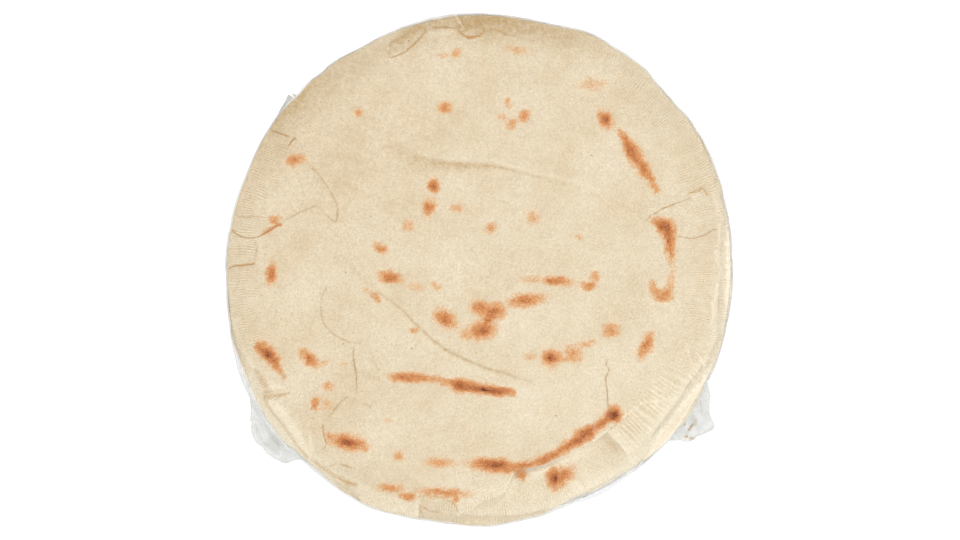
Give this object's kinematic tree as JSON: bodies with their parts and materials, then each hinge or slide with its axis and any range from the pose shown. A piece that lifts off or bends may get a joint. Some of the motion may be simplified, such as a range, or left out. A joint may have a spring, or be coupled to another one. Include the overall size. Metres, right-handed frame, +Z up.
{
  "type": "sealed pack of carasau flatbread",
  "caption": "Tight stack of thin round crisp flatbread sheets in a clear film bag, top sheet creased with scorch spots and a chipped rim.",
  "frame": {"origin": "middle of the flat underside, under the middle of the outline", "axes": "+Z up through the stack; +X to the right and +Y to the top of the view from above, with the two film flaps towards -Y"},
  "size_m": [0.304, 0.306, 0.0226],
  "materials": {
    "bread": "dry matt cream bread crust with fine grain and orange-brown scorch spots",
    "film": "thin clear glossy film, cloudy where it is crumpled"
  },
  "bodies": {
    "root": {"flatbread_pack": "bread"}
  },
  "joints": []
}
